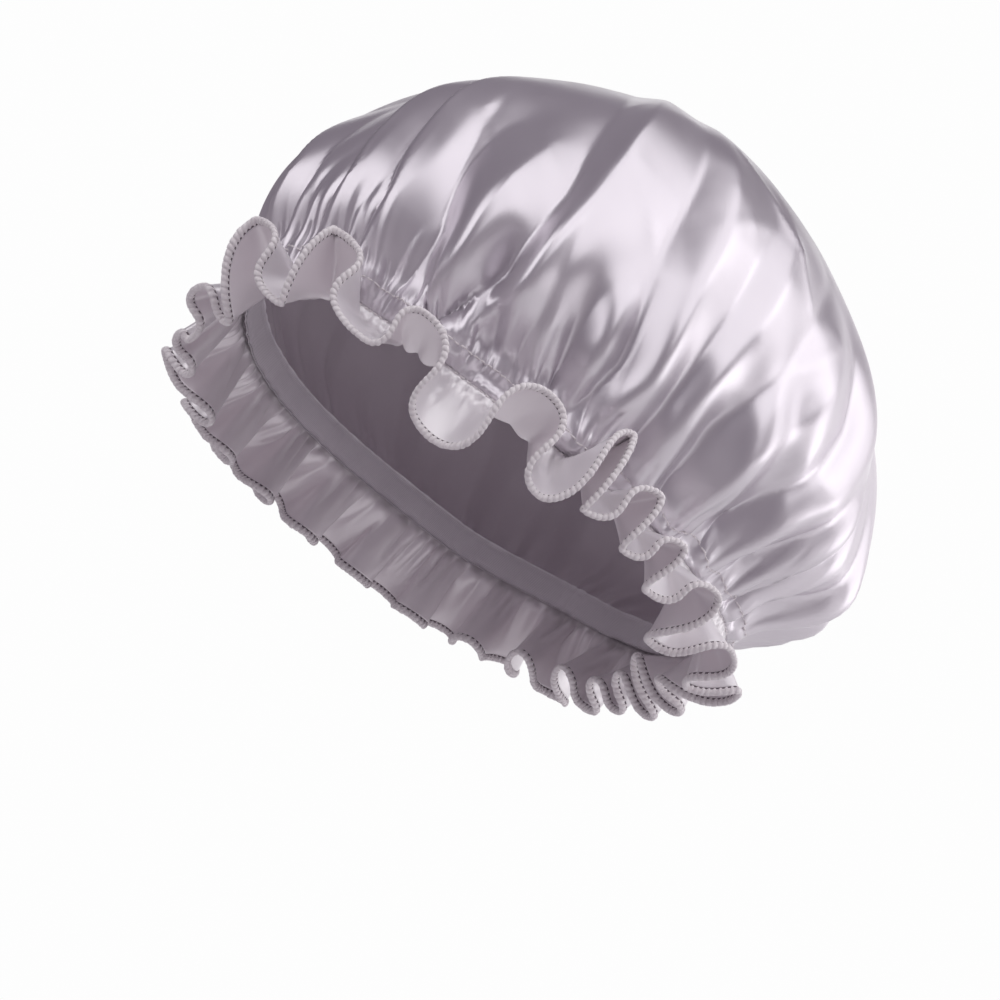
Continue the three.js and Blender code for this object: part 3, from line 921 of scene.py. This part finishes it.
def from_lap(turns):
    """How far, in elastic laps, a turn is from the middle of the lap at the nape."""
    lap = ELASTIC_LAP / OPENING_ROUND
    return np.abs(turns % 1 - NAPE_MIDDLE_SHARE - lap / 2) / lap


def tape_strip():
    gap = TAPE_END_GAP / OPENING_ROUND
    turns = NAPE_MIDDLE_SHARE + np.linspace(gap, 1 - gap, STRIP_STATIONS)
    half = CASING_HALF_HEIGHT + TAPE_SELVEDGE
    heights = np.linspace(-half, half, TAPE_ROWS)
    past_stitches = np.abs(heights) - CASING_HALF_HEIGHT
    held = np.exp(-((past_stitches / STITCHED_REACH) ** 2))
    free = np.where(past_stitches > 0, SELVEDGE_PUCKER_SHARE, CASING_PUCKER_SHARE)
    free *= 1 - STITCHED_SHARE * held
    stand_off = LAP_STEP * faded(from_lap(turns), 1, 1)
    pucker = TAPE_PUCKER * (ripple(turns, *GATHERS) - TAPE_PUCKER_MIDDLE) * free[:, None]
    front = TAPE_INSET + stand_off + pucker - STITCHED_DEPTH * held[:, None]
    return strip("tape_strip", turns, heights, front + TAPE_THICKNESS, front)


def elastic_strip():
    lap = ELASTIC_LAP / OPENING_ROUND
    run = np.linspace(0, 1 + lap, STRIP_STATIONS)
    heights = np.linspace(-ELASTIC_WIDTH / 2, ELASTIC_WIDTH / 2, ELASTIC_RIBS * RIB_ROWS + 1)
    ribs = np.cos(math.pi * ELASTIC_RIBS * (heights / ELASTIC_WIDTH + 0.5))
    hollow = RIB_HOLLOW * ribs[:, None] ** 2
    inset = ELASTIC_INSET + LAP_STEP * grown(run, 1, lap)
    front = inset + ELASTIC_THICKNESS - hollow
    return strip("elastic_strip", NAPE_MIDDLE_SHARE + run, heights, front, inset + hollow)


def stitch_row(cloth, name):
    """Stitches that go through cloths, elastic casing and tape, seen over a row of the cloth."""
    count = STITCHES * STITCH_STATIONS
    turns = np.arange(count) / count
    places = np.arange(len(cloth[0]) + 1) / len(cloth[0])
    beat = np.cos(TURN * STITCHES * turns)
    lift = CLOTH_SPACE + CLOTH_THICKNESS + STITCH_LIFT * np.sign(beat) * np.abs(beat) ** STITCH_SQUARENESS
    normal = unit(on_loop(cloth[1], places, turns))
    path = on_loop(cloth[0], places, turns) + normal * lift[:, None]
    side = unit(np.cross(closed_tangents(path), normal))
    return swept("stitches_" + name, ring(path, normal, side, (STITCH_RADIUS, STITCH_RADIUS), STITCH_SIDES))


# Looks: noises and ribs are told how many there are to the metre, along the cloth and across it
NOISE_RANGE = (0.3, 0.7)
SATIN_TONES = 22
SATIN_GLOSS = (60, 14)
SATIN_GLOSS_SPREAD = (0.88, 1.14)
SATIN_SLUBS = (2600, 160)
SLUB_HEIGHT = 0.00003
SATIN_CRUSH = 38
CRUSH_HEIGHT = 0.0012
SATIN_ANISOTROPY = 0.65
THREAD_TONES = 420
THREAD_FIBRES = 4200
FIBRE_HEIGHT = 0.0002
TAPE_TONES = 60
TAPE_YARNS = (520, 620)
TAPE_YARN_HEIGHT = 0.00012
ELASTIC_TONES = 90
ELASTIC_YARNS = (260, 210)
ELASTIC_YARN_HEIGHT = 0.00015


def feed(tree, node, inputs):
    """Sets inputs of a node, each to a plain value or to the output that drives it."""
    for name, value in inputs.items():
        if isinstance(value, bpy.types.NodeSocket):
            tree.links.new(value, node.inputs[name])
        else:
            node.inputs[name].default_value = value


def add_node(tree, kind, inputs, output=0, **settings):
    node = tree.nodes.new("ShaderNode" + kind)
    for name, value in settings.items():
        setattr(node, name, value)
    feed(tree, node, inputs)
    return node.outputs[output]


def add_ramp(tree, value, places, low, high):
    """Colour that runs from low to high between two places of a value."""
    ramp = tree.nodes.new("ShaderNodeValToRGB")
    for element, place, tone in zip(ramp.color_ramp.elements, places, (low, high)):
        element.position = place
        element.color = (*tone, 1)
    tree.links.new(value, ramp.inputs[0])
    return ramp.outputs[0]


def show(tree, shader):
    out = next(node for node in tree.nodes if node.type.startswith("OUTPUT"))
    tree.links.new(shader, out.inputs[0])


class Look:
    """A material made of nodes, built up one step at a time."""

    def __init__(self, name, roughness, metallic):
        self.material = bpy.data.materials.new(name)
        self.material.use_nodes = True
        self.tree = self.material.node_tree
        self.shader = next(node for node in self.tree.nodes if node.type == "BSDF_PRINCIPLED")
        self.set({"Roughness": roughness, "Metallic": metallic})

    def set(self, inputs):
        feed(self.tree, self.shader, inputs)

    def on_cloth(self, scale):
        """Place on the flat cloth, scaled along it and across it."""
        place = add_node(self.tree, "UVMap", {}, uv_map=CLOTH_PLACE)
        return add_node(self.tree, "Mapping", {"Vector": place, "Scale": (*scale, 1)})

    def in_space(self, scale):
        place = add_node(self.tree, "TexCoord", {}, "Object")
        return add_node(self.tree, "Mapping", {"Vector": place, "Scale": (scale, scale, scale)})

    def noise(self, vector, detail=3):
        return add_node(self.tree, "TexNoise", {"Vector": vector, "Scale": 1, "Detail": detail})

    def ribs(self, vector, direction, bend=0):
        inputs = {"Vector": vector, "Scale": 1, "Distortion": bend}
        return add_node(self.tree, "TexWave", inputs, "Fac", bands_direction=direction)

    def toned(self, count, first, second):
        noise = self.noise(self.in_space(count))
        self.set({"Base Color": add_ramp(self.tree, noise, NOISE_RANGE, first, second)})

    def rough(self, value, low, high):
        span = {"From Min": NOISE_RANGE[0], "From Max": NOISE_RANGE[1], "To Min": low, "To Max": high}
        self.set({"Roughness": add_node(self.tree, "MapRange", {"Value": value, **span})})

    def raised(self, height, strength, distance, **under):
        inputs = {"Strength": strength, "Distance": distance, "Height": height, **under}
        bumped = add_node(self.tree, "Bump", inputs)
        self.set({"Normal": bumped})
        return bumped

    def lustre(self, share):
        tangent = add_node(self.tree, "Tangent", {}, direction_type="UV_MAP", uv_map=CLOTH_PLACE)
        self.set({"Anisotropic": share, "Tangent": tangent})

    def sheen(self, weight, roughness):
        self.set({"Sheen Weight": weight, "Sheen Roughness": roughness})


def satin_look(name, first, second, roughness, metallic):
    """Satin: long floats of thread along the cloth, slightly uneven in tone, gloss and thickness."""
    look = Look(name, roughness, metallic)
    look.toned(SATIN_TONES, first, second)
    gloss = [roughness * share for share in SATIN_GLOSS_SPREAD]
    look.rough(look.noise(look.on_cloth(SATIN_GLOSS)), *gloss)
    slubs = look.noise(look.on_cloth(SATIN_SLUBS), detail=2)
    under = look.raised(slubs, strength=0.25, distance=SLUB_HEIGHT)
    crush = look.noise(look.in_space(SATIN_CRUSH), detail=2)
    look.raised(crush, strength=0.2, distance=CRUSH_HEIGHT, Normal=under)
    look.lustre(SATIN_ANISOTROPY)
    look.sheen(weight=0.12, roughness=0.35)
    return look.material


def thread_look(name, first, second):
    """Textured thread: soft, matt and slightly hairy."""
    look = Look(name, roughness=0.78, metallic=0)
    look.toned(THREAD_TONES, first, second)
    look.raised(look.noise(look.in_space(THREAD_FIBRES), detail=4), strength=0.6, distance=FIBRE_HEIGHT)
    look.sheen(weight=0.35, roughness=0.5)
    return look.material


def tape_look(name, first, second):
    """Plain woven tape: small ribs along and across it."""
    look = Look(name, roughness=0.62, metallic=0.1)
    look.toned(TAPE_TONES, first, second)
    along = look.ribs(look.on_cloth((TAPE_YARNS[0], 0)), "X")
    across = look.ribs(look.on_cloth((0, TAPE_YARNS[1])), "Y")
    weave = add_node(look.tree, "Math", {0: along, 1: across}, operation="ADD")
    look.raised(weave, strength=0.45, distance=TAPE_YARN_HEIGHT)
    look.sheen(weight=0.2, roughness=0.4)
    return look.material


def elastic_look(name, first, second):
    """Knitted elastic: yarns that run at a slant over its ribs."""
    look = Look(name, roughness=0.7, metallic=0)
    look.toned(ELASTIC_TONES, first, second)
    slant = look.ribs(look.on_cloth(ELASTIC_YARNS), "DIAGONAL", bend=1.5)
    look.raised(slant, strength=0.5, distance=ELASTIC_YARN_HEIGHT)
    look.sheen(weight=0.25, roughness=0.5)
    return look.material


satin = satin_look("satin", (0.685, 0.645, 0.69), (0.735, 0.695, 0.74), 0.32, 0.82)
# Lighter copy of the satin for the frill: its lighter base colour is painted light that lifts the flutes out
# of the shade they cast on each other
satin_lit_copy_for_frill = satin_look("satin_lit_copy_for_frill", (0.85, 0.82, 0.84), (0.89, 0.86, 0.88), 0.38, 0.45)
lining = satin_look("lining", (0.74, 0.69, 0.73), (0.79, 0.74, 0.78), 0.42, 0.3)
# Lighter copy of the lining for the frill: its lighter base colour is painted light for the shaded insides of
# the flutes
lit_lining_for_frill = satin_look("lining_lit_copy_for_frill", (0.84, 0.79, 0.82), (0.88, 0.83, 0.86), 0.4, 0.35)
thread = thread_look("thread", (0.84, 0.79, 0.81), (0.93, 0.89, 0.9))
# Near-black thread colour: painted shade for the gaps between the overlock wraps
shade = thread_look("painted_shade_in_the_gaps", (0.15, 0.12, 0.14), (0.2, 0.17, 0.19))
tape = tape_look("tape", (0.66, 0.62, 0.66), (0.72, 0.68, 0.72))
elastic = elastic_look("elastic", (0.74, 0.72, 0.72), (0.82, 0.8, 0.8))
BODY = next(iter(frame["bodies"]))


def dress(piece, node, material):
    piece.data.materials.append(material)
    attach(piece, BODY)
    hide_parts(node)


def add_cloths(name, rows, radii, looks):
    """Outer cloth and lining of the crown or of the frill, on the two sides of their middle surface."""
    far = CLOTH_SPACE + CLOTH_THICKNESS
    cloth = thin_sheet(name + "_cloth", rows, far, CLOTH_SPACE, radii)
    dress(cloth, name + "_shell", looks[0])
    inside = thin_sheet(name + "_lining_cloth", rows, -CLOTH_SPACE, -far, radii)
    dress(inside, name + "_lining", looks[1])


def add_frill(place, normals):
    """The frill's cloths, whose last row is tucked into the overlocked edge."""
    tucked = place[-1] + unit(place[-1] - place[-2]) * EDGE_TUCK
    rows = list(zip([tucked, *place[::-1]], [normals[-1], *normals[::-1]]))
    radii = CROWN_FLAT_RADIUS + CASING_HALF_HEIGHT + FRILL_FLAT_WIDTH * np.linspace(1, 0, len(rows))
    # The frill wears lighter copies of the satin and the lining, whose lighter colour is painted light
    add_cloths("frill", rows, radii, (satin_lit_copy_for_frill, lit_lining_for_frill))


def add_overlock(place, normals):
    wraps = swept("overlock_wraps", wrapped_thread(place, normals))
    dress(wraps, "overlock_edge", thread)
    centre, away, face = edge_frames(place, normals, EDGE_STATIONS)
    # A pale roll under the wraps, and a near-black tube at the inner side whose colour is painted shade in
    # the gaps between them
    for name, offset, reach, sides, look in (
        ("overlock_roll", ROLL_OFFSET, ROLL_REACH, ROLL_SIDES, thread),
        ("overlock_painted_shade_line", -SHADE_LINE_OFFSET, SHADE_LINE_REACH, SHADE_LINE_SIDES, shade),
    ):
        tube = swept(name, ring(centre + away * offset, away, face, reach, sides))
        dress(tube, "overlock_edge", look)


def add_casing(crown):
    dress(tape_strip(), "casing_tape", tape)
    dress(elastic_strip(), "elastic_band", elastic)
    for row, name in ((0, "lower"), (CASING_ROWS, "upper")):
        dress(stitch_row(crown[row], name), "casing_tape", thread)


crown, crown_radii = crown_rows()
add_cloths("crown", crown, crown_radii, (satin, lining))
frill = frill_rows()
add_frill(*frill)
add_overlock(*frill)
add_casing(crown)


def direction(azimuth, elevation):
    """Unit vectors at an azimuth, from the brow round to the wearer's left, and an elevation."""
    azimuth, elevation = np.broadcast_arrays(azimuth, elevation)
    level = np.cos(elevation)
    return np.stack([level * np.sin(azimuth), -level * np.cos(azimuth), np.sin(elevation)], -1)


def add_aimed(name, data, azimuth, elevation, distance):
    """Camera or lamp that looks at the middle of the opening."""
    piece = bpy.data.objects.new(name, data)
    piece.location = distance * direction(azimuth, elevation)
    piece.rotation_euler = (RIGHT_ANGLE - elevation, 0, azimuth)
    bpy.context.collection.objects.link(piece)
    return piece


def add_camera():
    data = bpy.data.cameras.new("camera")
    data.lens = CAMERA_LENS
    data.sensor_width = CAMERA_SENSOR
    data.shift_x, data.shift_y = CAMERA_SHIFT
    data.clip_end = CAMERA_REACH
    camera = add_aimed("camera", data, CAMERA_AZIMUTH, CAMERA_ELEVATION, CAMERA_DISTANCE)
    bpy.context.scene.camera = camera


def add_lamp(name, azimuth, elevation, distance, size, power):
    data = bpy.data.lights.new(name, "AREA")
    data.shape = "RECTANGLE"
    data.size, data.size_y = size
    data.energy = power
    add_aimed(name, data, math.radians(azimuth), math.radians(elevation), distance)


def add_walls():
    """Dim walls and ceiling that the glossy cloth mirrors, open at the back, where it mirrors the white."""
    azimuth = TURN * np.arange(WALL_COLUMNS) / WALL_COLUMNS
    elevation = math.pi * (np.arange(WALL_ROWS + 1) / WALL_ROWS - 0.5)
    points = direction(azimuth, elevation[:, None])
    numbers = np.arange(azimuth.size * elevation.size).reshape(-1, WALL_COLUMNS)
    after = np.roll(numbers, -1, 1)
    quads = np.stack([numbers[:-1], after[:-1], after[1:], numbers[1:]], -1)
    off_back = TURN * np.abs(turn_gap((azimuth + azimuth[1] / 2) / TURN, BACK_AZIMUTH / TURN))
    middle = (elevation[:-1] + elevation[1:]) / 2
    kept = (off_back[None] > BACK_HALF_WIDTH) | (middle[:, None] > BACK_TOP)
    walls = add_mesh("studio_walls", points * WALL_REACH, [quads[kept][:, ::-1]])
    look = Look("studio_walls", 1, 0)
    place = add_node(look.tree, "TexCoord", {}, "Object")
    height = add_node(look.tree, "SeparateXYZ", {0: place}, "Z")
    span = {"From Min": -WALL_REACH, "From Max": WALL_REACH}
    level = add_node(look.tree, "MapRange", {"Value": height, **span})
    tone = add_ramp(look.tree, level, (0, WALL_HIGH_SHARE), WALL_LOW, WALL_HIGH)
    show(look.tree, add_node(look.tree, "Emission", {"Color": tone}))
    walls.data.materials.append(look.material)
    walls.visible_camera = False


def shown_or_lit(tree, seen, lit, share):
    """A share of the first shader for what the camera, gloss and glass see, and the second for the rest."""
    shown = add_node(tree, "LightPath", {}, "Is Camera Ray")
    for name in ("Is Glossy Ray", "Is Transmission Ray"):
        ray = add_node(tree, "LightPath", {}, name)
        shown = add_node(tree, "Math", {0: shown, 1: ray}, operation="MAXIMUM")
    part = add_node(tree, "Math", {0: shown, 1: share}, operation="MULTIPLY")
    return add_node(tree, "MixShader", {0: part, 1: lit, 2: seen})


def add_floor():
    corners = np.arange(FLOOR_CORNERS)
    rim = FLOOR_RADIUS * direction(TURN * corners / FLOOR_CORNERS, 0)
    floor = add_mesh("floor", rim + [0, 0, FLOOR_HEIGHT], [corners[None]])
    look = Look("floor_paint", FLOOR_ROUGHNESS, 0)
    look.set({"Base Color": (*FLOOR_PAINT, 1)})
    glow = add_node(look.tree, "Emission", {"Color": (*FLOOR_WHITE, 1)})
    show(look.tree, shown_or_lit(look.tree, glow, look.shader.outputs[0], FLOOR_WHITE_SHARE))
    floor.data.materials.append(look.material)


def add_background():
    """White for what the camera and gloss see, dim for what lights the cloth."""
    world = bpy.data.worlds.new("studio")
    world.use_nodes = True
    tree = world.node_tree
    seen = add_node(tree, "Background", {"Color": (*WORLD_SEEN, 1)})
    lit = add_node(tree, "Background", {"Color": (*WORLD_LIGHT, 1)})
    show(tree, shown_or_lit(tree, seen, lit, 1))
    bpy.context.scene.world = world


add_camera()
add_background()
add_walls()
add_floor()
for lamp in LAMPS:
    add_lamp(*lamp)
bpy.context.scene.view_settings.view_transform = "Standard"
